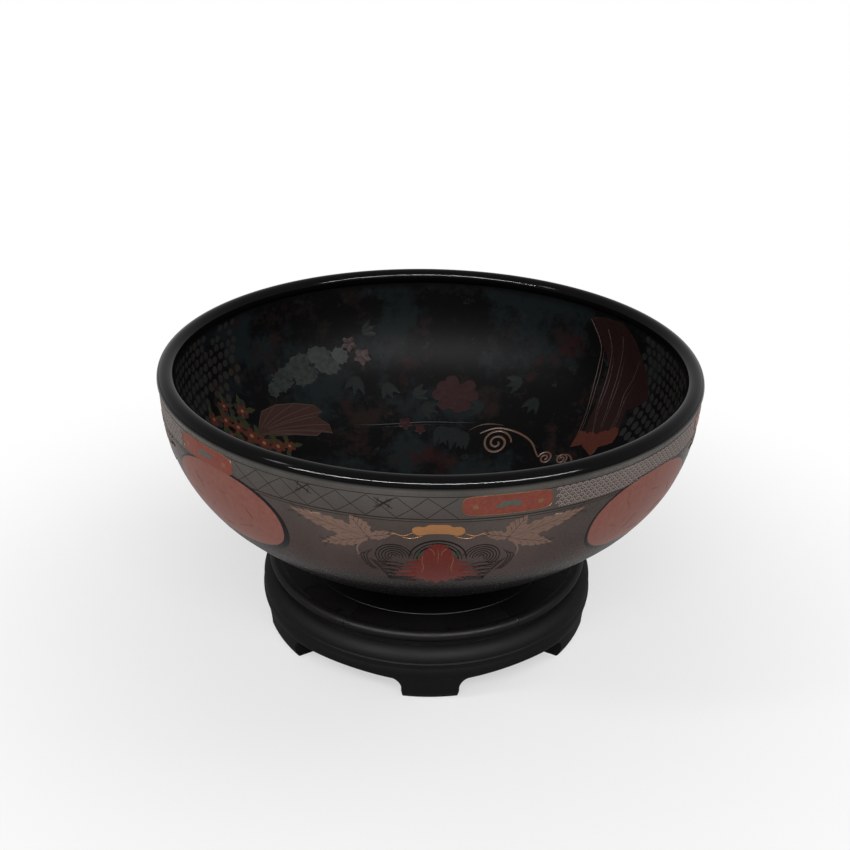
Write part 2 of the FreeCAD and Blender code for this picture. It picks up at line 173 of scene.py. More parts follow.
def wood_finish(name, dark, pale, shine):
    """Stained wood: long grain and open pores along the first of the piece's own grain directions."""
    material, tree = new_material(name)
    own = add(tree, "ShaderNodeAttribute", attribute_name="grain").outputs["Vector"]
    long_grain = add(tree, "ShaderNodeMapping", {"Vector": own, "Scale": FIBRES})
    fibre = add(tree, "ShaderNodeTexNoise", {"Vector": long_grain, "Scale": 1.0, "Detail": 5.0})
    pore_space = add(tree, "ShaderNodeMapping", {"Vector": own, "Scale": PORES})
    pores = add(tree, "ShaderNodeTexNoise", {"Vector": pore_space, "Scale": 1.0, "Detail": 2.0})
    open_pore = add(tree, "ShaderNodeMapRange", {"Value": pores, "From Min": 0.60, "From Max": 0.68})
    stain = add(tree, "ShaderNodeMix", {"Factor": fibre, "A": dark, "B": pale}, data_type="RGBA")
    colour = add(tree, "ShaderNodeMix", {"Factor": open_pore, "A": stain, "B": "#030303"}, data_type="RGBA")
    hands = add(tree, "ShaderNodeTexNoise", {"Vector": own, "Scale": HANDLING, "Detail": 3.0})
    rough = add(tree, "ShaderNodeMapRange", {"Value": hands, "To Min": shine - 0.10, "To Max": shine + 0.16})
    height = add(tree, "ShaderNodeMath", {0: fibre, 1: open_pore}, operation="SUBTRACT")
    relief = add(tree, "ShaderNodeBump", {"Height": height, "Strength": 0.25, "Distance": 0.0002})
    shader = add(tree, "ShaderNodeBsdfPrincipled", {
        "Base Color": colour, "Roughness": rough, "Specular IOR Level": 0.05,
        "Normal": relief})
    add(tree, "ShaderNodeOutputMaterial", {"Surface": shader})
    return material


# frame and panel keep a low wax shine, and their wood is painted paler than on the legs and aprons, as
# painted light on the shaded shelf under the bowl; legs and aprons are duller, and painted darker as painted
# shade; edges are rubbed brown and shiny, and on the legs and aprons painted paler than the faces as a
# painted highlight; the hidden splines are bare brown wood
ebonised = wood_finish("ebonised_rosewood", "#131112", "#1b1819", 0.42)
dull_ebonised_painted_darker = wood_finish("dulled_ebonised_rosewood", "#080708", "#0d0c0c", 0.60)
rubbed_and_highlit_edge = wood_finish("rubbed_edge_of_ebonised_rosewood", "#0e0c0b", "#181412", 0.30)
raw_spline = wood_finish("plain_rosewood_spline", "#2a1a12", "#3c281b", 0.55)
EDGE_ROUND_STAND = 0.35
FOOT_ROUND = 0.9
FOOT_LEVEL = 4.0
CREASE = math.radians(32)
FLAT_ENOUGH = math.radians(0.6)
SAME_POINT = 0.000005
RING_RADIUS = 0.08


def settle(piece):
    """Works a piece's modifiers into a plain mesh."""
    depsgraph = bpy.context.evaluated_depsgraph_get()
    mesh = bpy.data.meshes.new_from_object(
        piece.evaluated_get(depsgraph), preserve_all_data_layers=True, depsgraph=depsgraph)
    piece.modifiers.clear()
    piece.data = mesh
    mesh.name = piece.name
    return mesh


def planed(node_name, along, finish):
    """A finished copy of one joiner's piece: facets joined to whole faces, edges eased, feet well rounded.

    The grain runs round the ring, up the leg or straight across, as the piece is cut.
    """
    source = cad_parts[node_name]
    mesh = source.data.copy()
    mesh.transform(source.matrix_world)
    shape = bmesh.new()
    shape.from_mesh(mesh)
    bmesh.ops.remove_doubles(shape, verts=shape.verts, dist=SAME_POINT)
    bmesh.ops.dissolve_limit(shape, angle_limit=FLAT_ENOUGH, verts=shape.verts, edges=shape.edges)
    bmesh.ops.recalc_face_normals(shape, faces=shape.faces)
    eased = shape.edges.layers.float.new("bevel_weight_edge")
    for edge in shape.edges:
        if len(edge.link_faces) == 2 and edge.calc_face_angle() > CREASE:
            at_foot = along == "up" and max(v.co.z for v in edge.verts) < FOOT_LEVEL * MM
            edge[eased] = 1.0 if at_foot else EDGE_ROUND_STAND / FOOT_ROUND
    shape.to_mesh(mesh)
    shape.free()
    mesh.materials.clear()
    mesh.materials.append(finish)
    mesh.materials.append(rubbed_and_highlit_edge)
    piece = put(node_name + "_planed", mesh)
    bevel = piece.modifiers.new("eased edges", "BEVEL")
    bevel.limit_method = "WEIGHT"
    bevel.width = FOOT_ROUND * MM
    bevel.segments = 2
    bevel.material = 1
    piece.modifiers.new("even shading", "WEIGHTED_NORMAL").keep_sharp = True
    mesh.shade_smooth()
    mesh.set_sharp_from_angle(angle=CREASE)
    mesh = settle(piece)
    middle = sum((v.co for v in mesh.vertices), Vector()) / len(mesh.vertices)
    grain = mesh.attributes.new("grain", "FLOAT_VECTOR", "POINT")
    for vertex in mesh.vertices:
        x, y, z = vertex.co
        radius = math.hypot(x, y)
        turn = math.remainder(math.atan2(y, x) - math.atan2(middle.y, middle.x), 2 * math.pi)
        round_ring = turn * RING_RADIUS
        grain.data[vertex.index].vector = {
            "ring": (round_ring, radius, z), "up": (z, round_ring, radius), "across": (x, y, z)}[along]
    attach(piece, "stand")
    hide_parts(node_name)


for number in range(1, 7):
    planed(f"leg_{number}", "up", dull_ebonised_painted_darker)
    planed(f"apron_{number}", "ring", dull_ebonised_painted_darker)
    planed(f"frame_segment_{number}", "ring", ebonised)
planed("centre_panel", "across", ebonised)
for node_name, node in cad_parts.items():
    node.data.materials.clear()
    node.data.materials.append(raw_spline if "spline" in node_name else ebonised)


# The bowl: a turned wooden core under many coats of polished lacquer, one smooth shell with a rolled lip
# and a foot ring. Its section is the section in the CAD part, and it is turned about the bowl's axis.
SEAT = 32.0
LIP_CENTRE = (120.95, 134.305)
LIP_RADIUS = 4.05
LIP_DROP = 2.2
WALL = 6.0
UPPER_RADIUS = 160.0
UPPER_ANGLE = math.radians(5.0)
BELLY_RADIUS = 67.5
BELLY_ANGLE = math.radians(44.0)
LOWER_RADIUS = 175.0
FLOOR_RADIUS = 38.0
FOOT_RADIUS = 47.0
FOOT_HEIGHT = 5.4
FOOT_WIDTH = 6.5
FOOT_HOLLOW = 3.6
EDGE_ROUND = 0.7
OUTER_LIP_STEPS = 18
INNER_LIP_STEPS = 14

wall_top = LIP_CENTRE[0] + math.sqrt(LIP_RADIUS ** 2 - LIP_DROP ** 2)
upper_centre = (wall_top - UPPER_RADIUS, LIP_CENTRE[1] - LIP_DROP)
belly_centre = (
    upper_centre[0] + (UPPER_RADIUS - BELLY_RADIUS) * math.cos(UPPER_ANGLE),
    upper_centre[1] - (UPPER_RADIUS - BELLY_RADIUS) * math.sin(UPPER_ANGLE),
)
lower_centre = (
    belly_centre[0] + (BELLY_RADIUS - LOWER_RADIUS) * math.cos(BELLY_ANGLE),
    belly_centre[1] - (BELLY_RADIUS - LOWER_RADIUS) * math.sin(BELLY_ANGLE),
)


def swept(angles, wide, tall, x=0.0, y=0.0):
    """Points on an ellipse, at angles in degrees."""
    return [(x + wide * math.cos(math.radians(a)), y + tall * math.sin(math.radians(a))) for a in angles]


def arc(centre, radius, start, end, steps):
    """Points along an arc from one angle to another, in degrees above the level."""
    return swept([start + (end - start) * step / steps for step in range(steps + 1)], radius, radius, *centre)


def down(centre, radius, distance):
    """The angle at which an arc comes down to a distance from the axis."""
    return -math.degrees(math.acos((distance - centre[0]) / radius))


lip_join = -math.degrees(math.asin(LIP_DROP / LIP_RADIUS))
outside = (
    arc(LIP_CENTRE, LIP_RADIUS, 90, lip_join, OUTER_LIP_STEPS)
    + arc(upper_centre, UPPER_RADIUS, 0, -5, 6)[1:]
    + arc(belly_centre, BELLY_RADIUS, -5, -44, 24)[1:]
    + arc(lower_centre, LOWER_RADIUS, -44, down(lower_centre, LOWER_RADIUS, FOOT_RADIUS), 16)[1:]
)
inner_join = 180 + math.degrees(math.acos(-(wall_top - WALL - LIP_CENTRE[0]) / LIP_RADIUS))
inside = (arc(LIP_CENTRE, LIP_RADIUS, 90, inner_join, INNER_LIP_STEPS)
    + arc(upper_centre, UPPER_RADIUS - WALL, 0, -5, 6)[1:] + arc(belly_centre, BELLY_RADIUS - WALL, -5, -44,
    20)[1:] + arc(lower_centre, LOWER_RADIUS - WALL, -44, down(lower_centre, LOWER_RADIUS - WALL,
    FLOOR_RADIUS), 14)[1:])
floor_level = inside[-1][1]
inside += [(FLOOR_RADIUS * (1 - step / 8), floor_level) for step in range(1, 9)]
foot_inside = FOOT_RADIUS - FOOT_WIDTH
foot = (
    arc((FOOT_RADIUS - EDGE_ROUND, SEAT + EDGE_ROUND), EDGE_ROUND, 0, -90, 4)
    + arc((foot_inside + EDGE_ROUND, SEAT + EDGE_ROUND), EDGE_ROUND, -90, -180, 4)
    + [(foot_inside, SEAT + FOOT_HOLLOW), (0.0, SEAT + FOOT_HOLLOW)]
)
shell_section = list(reversed(outside + foot)) + inside[1:]

# One node tree turns things on the axis: what is drawn flat, across and down in metres, is repeated round
# the bowl and wrapped on the wall whose section it is given, at its own height above the surface.
wheel = bpy.data.node_groups.new("laid_round_the_axis", "GeometryNodeTree")
wheel_inputs = {
    label: wheel.interface.new_socket(label, in_out="INPUT", socket_type=f"NodeSocket{kind}").identifier
    for label, kind in (
        ("Drawing", "Geometry"), ("Section", "Object"), ("Radius", "Float"), ("Copies", "Int"),
        ("First angle", "Float"), ("Step", "Float"), ("Side", "Float"), ("Finish", "Material"),
    )
}
wheel.interface.new_socket("Turned", in_out="OUTPUT", socket_type="NodeSocketGeometry")
given = add(wheel, "NodeGroupInput").outputs


def reckon(operation, first, second):
    """One sum inside the wheel's tree."""
    return add(wheel, "ShaderNodeMath", {0: first, 1: second}, operation=operation)


start = add(wheel, "ShaderNodeCombineXYZ", {"X": reckon("MULTIPLY", given["First angle"], given["Radius"])})
offset = add(wheel, "ShaderNodeCombineXYZ", {"X": reckon("MULTIPLY", given["Step"], given["Radius"])})
row = add(wheel, "GeometryNodeMeshLine", {
    "Count": given["Copies"], "Start Location": start, "Offset": offset})
copies = add(wheel, "GeometryNodeInstanceOnPoints", {"Points": row, "Instance": given["Drawing"]})
flat = add(wheel, "GeometryNodeRealizeInstances", {"Geometry": copies})
across = add(wheel, "ShaderNodeSeparateXYZ", {0: add(wheel, "GeometryNodeInputPosition")}).outputs
turn = reckon("DIVIDE", across["X"], given["Radius"])
wall_line = add(wheel, "GeometryNodeObjectInfo", {"Object": given["Section"]})
spot = add(wheel, "GeometryNodeSampleCurve", {
    "Curves": wall_line.outputs["Geometry"], "Length": across["Y"]}, mode="LENGTH", use_all_curves=True)
spot_place = add(wheel, "ShaderNodeSeparateXYZ", {0: spot.outputs["Position"]}).outputs
spot_run = add(wheel, "ShaderNodeSeparateXYZ", {0: spot.outputs["Tangent"]}).outputs
lift = reckon("MULTIPLY", across["Z"], given["Side"])
out_r = reckon("SUBTRACT", spot_place["X"], reckon("MULTIPLY", spot_run["Z"], lift))
out_z = reckon("ADD", spot_place["Z"], reckon("MULTIPLY", spot_run["X"], lift))
wrapped = add(wheel, "ShaderNodeCombineXYZ", {
    "X": reckon("MULTIPLY", out_r, add(wheel, "ShaderNodeMath", {0: turn}, operation="SINE")),
    "Y": reckon("MULTIPLY", reckon("MULTIPLY", out_r, -1.0),
                add(wheel, "ShaderNodeMath", {0: turn}, operation="COSINE")),
    "Z": out_z})
laid = add(wheel, "GeometryNodeSetPosition", {"Geometry": flat, "Position": wrapped})
joined = add(wheel, "GeometryNodeMergeByDistance", {"Geometry": laid, "Distance": 0.000002})
plain = add(wheel, "GeometryNodeRealizeInstances", {"Geometry": joined})
finished = add(wheel, "GeometryNodeSetMaterial", {"Geometry": plain, "Material": given["Finish"]})
add(wheel, "NodeGroupOutput", {0: finished})


def flat_mesh(name, points, faces):
    """A flat drawing with a UV map that holds its own across and down."""
    mesh = bpy.data.meshes.new(name)
    mesh.from_pydata([(x * MM, y * MM, z * MM) for x, y, z in points], [], faces)
    layer = mesh.uv_layers.new(name="wall")
    for loop in mesh.loops:
        x, y, _ = points[loop.vertex_index]
        layer.data[loop.index].uv = (x * MM, y * MM)
    return mesh


def lay_round(name, drawing, section_points, finish, radius, copies=1, first=0.0, step=0.0, side=0.0):
    """Wraps a drawing on a wall: side 1 is the outside of the bowl, -1 the inside."""
    line = bpy.data.curves.new(name + "_section", "CURVE")
    line.dimensions = "3D"
    spline = line.splines.new("POLY")
    spline.points.add(len(section_points) - 1)
    for point, (r, z) in zip(spline.points, section_points):
        point.co = (r * MM, 0, z * MM, 1)
    section = put(line.name, line)
    piece = put(name, drawing)
    modifier = piece.modifiers.new("laid round", "NODES")
    modifier.node_group = wheel
    for label, value in (("Section", section), ("Radius", radius * MM), ("Copies", copies),
            ("First angle", math.radians(first)), ("Step", math.radians(step)), ("Side", side),
            ("Finish", finish)):
        modifier[wheel_inputs[label]] = value
    mesh = settle(piece)
    if side > 0:
        mesh.flip_normals()
    mesh.shade_smooth()
    bpy.data.objects.remove(section)
    return piece


def lengths(points):
    """How far along a line each of its points is."""
    run = [0.0]
    for (r1, z1), (r2, z2) in zip(points, points[1:]):
        run.append(run[-1] + math.hypot(r2 - r1, z2 - z1))
    return run


BOWL_FACETS = 240
BOWL_RADIUS = 125.0
shell_run = lengths(shell_section)
circle = 2 * math.pi * BOWL_RADIUS
points = [(circle * column / BOWL_FACETS, down_wall, 0.0) for down_wall in shell_run
    for column in range(BOWL_FACETS + 1)]
faces = [(row * (BOWL_FACETS + 1) + column, row * (BOWL_FACETS + 1) + column + 1,
    (row + 1) * (BOWL_FACETS + 1) + column + 1, (row + 1) * (BOWL_FACETS + 1) + column)
    for row in range(len(shell_run) - 1) for column in range(BOWL_FACETS)]
lip_run = shell_run[len(foot) + len(outside) - 1]
outer_lip = lengths(outside)[OUTER_LIP_STEPS]
inner_run = lengths(inside)
inner_lip = inner_run[INNER_LIP_STEPS]
# black lacquer: near black under a clear polished skin, a little uneven, with faint dust. In repeats to the
# metre: the ground's clouds are 36 mm wide, the ripples of the skin 14 mm, and the dust 1.1 mm.
CLOUDS, RIPPLES, DUST = 28.0, 70.0, 900.0
roiro, tree = new_material("polished_black_lacquer")
own = add(tree, "ShaderNodeTexCoord").outputs["Object"]
wall_map = add(tree, "ShaderNodeUVMap", uv_map="wall")
down_the_wall = add(tree, "ShaderNodeSeparateXYZ", {0: wall_map}).outputs["Y"]
share = add(tree, "ShaderNodeMapRange", {"Value": down_the_wall, "From Max": shell_run[-1] * MM})
# the ground down the outer wall, from the foot to the lip: near black low down, grey-brown behind the
# ornament and palest in the border band; the grey-brown is partly the lacquer's own tone and partly a painted
# sheen of the pale floor, and it grows darker towards the foot
GROUND_AND_SHEEN = (
    (shell_run[len(foot)], "#0c0b0b"),
    (lip_run - 92.0, "#0b0a0a"),
    (lip_run - 70.0, "#120f0f"),
    (lip_run - 60.0, "#1c1616"),
    (lip_run - 51.0, "#40322f"),
    (lip_run - 30.0, "#4c423f"),
    (lip_run - 20.5, "#4c4542"),
    (lip_run - 6.5, "#5a5754"),
    (lip_run - 5.6, "#0b0b0c"),
    (shell_run[-1], "#0d0d0e"),
)
ramp = add(tree, "ShaderNodeValToRGB", {"Fac": share})
while len(ramp.color_ramp.elements) < len(GROUND_AND_SHEEN):
    ramp.color_ramp.elements.new(0.5)
for stop, (place_on_wall, _) in zip(ramp.color_ramp.elements, GROUND_AND_SHEEN):
    stop.position = place_on_wall / shell_run[-1]
for stop, (_, colour) in zip(ramp.color_ramp.elements, GROUND_AND_SHEEN):
    stop.color = linear(colour)
cloud = add(tree, "ShaderNodeTexNoise", {"Vector": own, "Scale": CLOUDS, "Detail": 4.0})
depth = add(tree, "ShaderNodeMapRange", {"Value": cloud, "From Min": 0.32, "From Max": 0.68, "To Min": 0.74,
    "To Max": 1.26})
tone = add(tree, "ShaderNodeCombineXYZ", {"X": depth, "Y": depth, "Z": depth})
ground_and_sheen = add(tree, "ShaderNodeMix", {"Factor": 1.0, "A": ramp, "B": tone}, data_type="RGBA",
    blend_type="MULTIPLY")
# the old scene inside has sunk into the black: dim smoke green, umber and wine red, in broken patches
sunk_from = (lip_run + inner_lip) * MM
inside_only = add(tree, "ShaderNodeMapRange", {"Value": down_the_wall, "From Min": sunk_from,
    "From Max": sunk_from + 4 * MM})
for place_seed, scale, colour, low in ((0.0, 26.0, "#1a2022", 0.50), (3.1, 38.0, "#221a19", 0.54),
        (7.7, 30.0, "#2a1516", 0.60), (5.2, 120.0, "#232524", 0.60)):
    moved_place = add(tree, "ShaderNodeVectorMath", {0: own, 1: (place_seed, 0, place_seed)}, operation="ADD")
    patch = add(tree, "ShaderNodeTexNoise", {"Vector": moved_place, "Scale": scale, "Detail": 6.0,
        "Roughness": 0.7})
    cut = add(tree, "ShaderNodeMapRange", {"Value": patch, "From Min": low, "From Max": low + 0.09})
    there = add(tree, "ShaderNodeMath", {0: cut, 1: inside_only}, operation="MULTIPLY")
    ground_and_sheen = add(tree, "ShaderNodeMix", {"Factor": there, "A": ground_and_sheen, "B": colour}, data_type="RGBA")
dust = add(tree, "ShaderNodeTexNoise", {"Vector": own, "Scale": DUST, "Detail": 3.0})
rubbed = add(tree, "ShaderNodeMapRange", {"Value": dust, "To Min": 0.24, "To Max": 0.31})
skin = add(tree, "ShaderNodeTexNoise", {"Vector": own, "Scale": RIPPLES, "Detail": 2.0})
ripple = add(tree, "ShaderNodeBump", {"Height": skin, "Strength": 0.05, "Distance": 0.001})
shine = add(tree, "ShaderNodeBsdfPrincipled", {
    "Base Color": ground_and_sheen, "Roughness": rubbed, "IOR": 1.5, "Specular IOR Level": 0.05,
    "Normal": ripple})
add(tree, "ShaderNodeOutputMaterial", {"Surface": shine})
# the inside is duller than the outside: the same lacquer, less polished
dull_roiro = roiro.copy()
dull_roiro.name = "dulled_black_lacquer"
for part, socket, value in ((shine, "Specular IOR Level", 0.015), (rubbed, "To Min", 0.40),
        (rubbed, "To Max", 0.50)):
    dull_roiro.node_tree.nodes[part.name].inputs[socket].default_value = value
# the lip is touched and rubbed the most, and is the glossiest
lip_lacquer, tree = new_material("hand_rubbed_black_lip_lacquer")
own = add(tree, "ShaderNodeTexCoord").outputs["Object"]
lip_dust = add(tree, "ShaderNodeTexNoise", {"Vector": own, "Scale": 700.0, "Detail": 3.0})
lip_tone = add(tree, "ShaderNodeMix", {"Factor": lip_dust, "A": "#070708", "B": "#0e0d0e"}, data_type="RGBA")
lip_rough = add(tree, "ShaderNodeMapRange", {"Value": lip_dust, "To Min": 0.07, "To Max": 0.10})
lip_shine = add(tree, "ShaderNodeBsdfPrincipled", {
    "Base Color": lip_tone, "Roughness": lip_rough, "IOR": 1.5,
    "Specular IOR Level": 0.045})
add(tree, "ShaderNodeOutputMaterial", {"Surface": lip_shine})

bowl = lay_round("lacquered_bowl", flat_mesh("bowl", points, faces), shell_section, roiro, BOWL_RADIUS)
bowl.data.set_sharp_from_angle(angle=math.radians(40))
bowl.data.materials.append(lip_lacquer)
bowl.data.materials.append(dull_roiro)
LIP_BAND = 6.0
down_of = bowl.data.uv_layers["wall"].data
for face in bowl.data.polygons:
    middle_run = sum(down_of[i].uv.y for i in face.loop_indices) / face.loop_total / MM
    if middle_run > lip_run - LIP_BAND:
        face.material_index = 1 if middle_run < lip_run + inner_lip else 2
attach(bowl, "bowl")
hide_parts("bowl")


# The border under the lip: a band of greyed lacquer ruled off by thin dark lines, painted round the bowl
# before the reserves are laid on it. Lines and plates are raised lacquer, a fraction of a millimetre thick.
def plate(points, faces, sunk=-0.12):
    """A thin closed plate: its own points on top, the same outline sunk a little into the wall below."""
    count = len(points)
    sides = {(face[i - 1], face[i]) for face in faces for i in range(len(face))}
    rim = sorted(edge for edge in sides if (edge[1], edge[0]) not in sides)
    below = [(x, y, sunk) for x, y, _ in points]
    return (points + below, list(faces) + [tuple(i + count for i in reversed(face)) for face in faces]
        + [(a, a + count, b + count, b) for a, b in rim])


def stroke(path, width, height, edge=0.02, taper=0.0):
    """A brushed line along a path, crowned in the middle; taper thins its ends."""
    last = len(path) - 1
    points = []
    for i, (x, y) in enumerate(path):
        ahead = path[min(i + 1, last)]
        behind = path[max(i - 1, 0)]
        dx, dy = ahead[0] - behind[0], ahead[1] - behind[1]
        size = math.hypot(dx, dy) or 1.0
        half = 0.5 * width * (1 - taper * (1 - math.sin(math.pi * (0.03 + 0.94 * i / last)) ** 0.6))
        nx, ny = -dy / size * half, dx / size * half
        points += [(x - nx, y - ny, edge), (x, y, height), (x + nx, y + ny, edge)]
    faces = []
    for i in range(last):
        a = 3 * i
        faces += [(a, a + 3, a + 4, a + 1), (a + 1, a + 4, a + 5, a + 2)]
    return plate(points, faces)


def fill(outline, crown, edge=0.05, cell=3.0, round_off=1.6):
    """A filled shape, cut into small cells so that it can bend. In mm: its height inside (crown) and at the
    edge, the size of a cell, and how far in from the edge it reaches its full height."""
    corners = [Vector(p) for p in outline]
    low = [min(p[k] for p in outline) for k in (0, 1)]
    high = [max(p[k] for p in outline) for k in (0, 1)]
    inner = []
    for i in range(1, int((high[0] - low[0]) / cell) + 1):
        for j in range(1, int((high[1] - low[1]) / cell) + 1):
            spot = Vector((low[0] + cell * (i - 0.03), low[1] + cell * (j - 0.04)))
            if min((spot - corner).length for corner in corners) > 0.3 * cell:
                inner.append(spot)
    around = list(range(len(corners)))
    places, _, faces, *_ = delaunay_2d_cdt(corners + inner, [], [around], 1, 1e-6)
    used = sorted({i for face in faces for i in face})
    slot_of = {old: new for new, old in enumerate(used)}
    points = []
    for old in used:
        p = places[old]
        off = min((p - corner).length for corner in corners)
        points.append((p.x, p.y, edge + (crown - edge) * min(1.0, off / round_off)))
    faces = [tuple(slot_of[i] for i in face) for face in faces]
    return plate(points, faces)


def together(parts):
    """Several drawings as one."""
    points, faces = [], []
    for part_points, part_faces in parts:
        faces += [tuple(i + len(points) for i in face) for face in part_faces]
        points += part_points
    return points, faces


def moved(part, x=0.0, y=0.0, turn=0.0, size=1.0, mirror=False):
    """A drawing shifted, turned, sized or mirrored left to right."""
    points, faces = part
    c, s = math.cos(math.radians(turn)) * size, math.sin(math.radians(turn)) * size
    flip = -1 if mirror else 1
    points = [(x + flip * (c * px - s * py), y + s * px + c * py, pz) for px, py, pz in points]
    return points, [tuple(reversed(face)) for face in faces] if mirror else list(faces)


def both_sides(parts):
    """Drawings with their mirror images."""
    return parts + [moved(part, mirror=True) for part in parts]


def curve(knots, steps=6):
    """A smooth line through a few points."""
    line = []
    ends = [knots[0]] + list(knots) + [knots[-1]]
    for p0, p1, p2, p3 in zip(ends, ends[1:], ends[2:], ends[3:]):
        for step in range(steps):
            t = step / steps
            line.append(tuple(
                b + 0.5 * t * (c - a + t * (2 * a - 5 * b + 4 * c - d + t * (3 * b - a - 3 * c + d)))
                for a, b, c, d in zip(p0, p1, p2, p3)))
    line.append(tuple(knots[-1]))
    return line


def oval(half_width, half_height, count, power=2.0):
    """An outline between an ellipse and a rounded box."""
    ring = []
    for i in range(count):
        a = 2 * math.pi * i / count
        c, s = math.cos(a), math.sin(a)
        ring.append((half_width * math.copysign(abs(c) ** (2 / power), c),
            half_height * math.copysign(abs(s) ** (2 / power), s)))
    return ring


def painted(name, what, base, speck, grain, roughness, metallic=0.0, share=0.35, specular=0.07):
    """A pigment or metal powder in clear lacquer: two tones in specks of one size, worn a little unevenly."""
    material, tree = new_material(name)
    own = add(tree, "ShaderNodeTexCoord").outputs["Object"]
    grains = add(tree, "ShaderNodeTexNoise", {"Vector": own, "Scale": 1 / (grain * MM), "Detail": 2.0})
    cut = add(tree, "ShaderNodeMapRange", {"Value": grains, "From Min": 0.5 - share, "From Max": 0.5 + share})
    wear = add(tree, "ShaderNodeTexNoise", {"Vector": own, "Scale": 120.0, "Detail": 4.0})
    tone = add(tree, "ShaderNodeMix", {"Factor": cut, "A": base, "B": speck}, data_type="RGBA")
    worn = add(tree, "ShaderNodeMapRange", {"Value": wear, "From Min": 0.62, "From Max": 0.82,
        "To Max": 0.45})
    colour = add(tree, "ShaderNodeMix", {"Factor": worn, "A": tone, "B": what}, data_type="RGBA")
    rough = add(tree, "ShaderNodeMapRange", {"Value": grains, "To Min": roughness - 0.08,
        "To Max": roughness + 0.12})
    relief = add(tree, "ShaderNodeBump", {"Height": grains, "Strength": 0.15, "Distance": 0.0002})
    shader = add(tree, "ShaderNodeBsdfPrincipled", {
        "Base Color": colour, "Roughness": rough, "Metallic": metallic,
        "Specular IOR Level": specular, "Normal": relief})
    add(tree, "ShaderNodeOutputMaterial", {"Surface": shader})
    return material


def decorate(name, parts, finish, copies=1, first=0.0, inner=False):
    """Lays one colour of the decoration on the bowl, repeated evenly round it."""
    points, faces = together(parts)
    join = inner_lip if inner else outer_lip
    drawing = flat_mesh(name, [(x, y + join, z) for x, y, z in points], faces)
    piece = lay_round(name, drawing, inside if inner else outside, finish, BOWL_RADIUS, copies, first,
        360.0 / copies, -1.0 if inner else 1.0)
    piece.data.set_sharp_from_angle(angle=math.radians(50))
    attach(piece, "bowl")


DEGREE = 2 * math.pi * BOWL_RADIUS / 360


def ring_line(at, width, height, steps=40):
    """One sixth of a line right round the bowl, which is laid six times."""
    return stroke([(DEGREE * 60 * i / steps, at) for i in range(steps + 1)], width, height)


# brown-black pigment in lacquer, brushed thin: a matt dark line
umber = painted("umber_line_lacquer", "#1b1513", "#241c19", "#2f2622", 0.4, 0.35)
rules = ((10.6, 0.45, 0.08), (11.7, 0.28, 0.06), (0.9, 0.3, 0.06), (52.5, 0.35, 0.06), (55.5, 0.25, 0.06))
decorate("border_rules", [ring_line(*rule) for rule in rules], umber, 6)

# The border's filling, drawn with a fine brush. The bays between the reserves are filled by turns: three with
# a loose net of crossing lines and two crossed sprigs, three with rows of small pale scales.
BAY = 60 * DEGREE
CARTOUCHE_HALF = 17.5
BORDER_LOW = 10.2
net = []
mesh_step = (BAY - 2 * CARTOUCHE_HALF - 3.0) / 8
for k in range(8):
    left = CARTOUCHE_HALF + 1.5 + k * mesh_step - 0.5 * BAY
    for low, high in ((1.4, BORDER_LOW), (BORDER_LOW, 1.4)):
        net.append(stroke(curve([(left, low), (left + 0.5 * mesh_step, 0.5 * (low + high) + 0.3 * (-1) ** k),
            (left + mesh_step, high)]), 0.27, 0.07))
twig = stroke([(-4.2, 0), (-2.0, 0.15), (0, 0), (2.0, -0.15), (4.2, 0)], 0.62, 0.1, taper=0.8)
side_twig = stroke([(-1.2, 0), (0, 0), (1.2, 0)], 0.4, 0.09, taper=0.8)
for x, y in ((-13.5, 2.9), (18.3, 4.3)):
    for turn in (32, -32):
        net.append(moved(twig, x, y, turn))
        for at in (-2.4, 2.4):
            net.append(moved(side_twig, *swept([turn], at, at, x, y)[0], turn + 70))
decorate("border_net", net, umber, 3, -18.0)
# pigment and a little tin powder: a pale matt grey
ash = painted("ash_grey_scale_lacquer", "#4a4340", "#7a6c68", "#948680", 0.6, 0.4)
SCALE_STEP = 2.9
scales = []
scale_count = int((BAY - 2 * CARTOUCHE_HALF - 3.0) / SCALE_STEP)
for row_number in range(6):
    for k in range(scale_count - row_number % 2):
        x = SCALE_STEP * (k - 0.5 * (scale_count - 1) + 0.5 * (row_number % 2))
        y = 2.3 + row_number * 1.5
        scales.append(stroke(swept(range(0, 181, 30), 1.2, -1.0, x, y), 0.5, 0.09))
        scales.append(stroke([(x - 0.3, y - 0.1), (x, y - 0.15), (x + 0.3, y - 0.1)], 0.5, 0.1))
decorate("border_scales", scales, ash, 3, 42.0)

# The six long reserves in the border: vermilion lacquer laid flat, outlined in gold, with a gold dot at
# each end and a small grey-green cloud in the middle.
# vermilion is a flat warm red, the gold powder glints in specks, and the grey-green is matt
vermilion = painted("vermilion_lacquer", "#5c2620", "#74382f", "#864a3e", 1.2, 0.3)
gold_line = painted("fine_gold_powder_line", "#3e2c1c", "#6a4c34", "#8a684a", 0.35, 0.32, metallic=0.10,
    specular=0.05)
sage = painted("grey_green_lacquer", "#363832", "#4c4e46", "#5e6058", 0.6, 0.4)
RESERVE_TURN = 12.0
RESERVE_MIDDLE = 5.0
reserve = oval(CARTOUCHE_HALF, 4.1, 64, 5.0)
decorate("reserves", [moved(fill(reserve, 0.16, 0.1), 0, RESERVE_MIDDLE)], vermilion, 6, RESERVE_TURN)
outline = [(x, y + RESERVE_MIDDLE) for x, y in oval(CARTOUCHE_HALF + 0.1, 4.2, 72, 5.0)]
decorate("reserve_outlines", [stroke(outline + outline[:2], 0.34, 0.24)]
    + [moved(fill(oval(1.5, 1.3, 14), 0.26, 0.12, 1.5, 0.8), x, 5.4) for x in (-12.6, 12.6)], gold_line, 6,
    RESERVE_TURN)
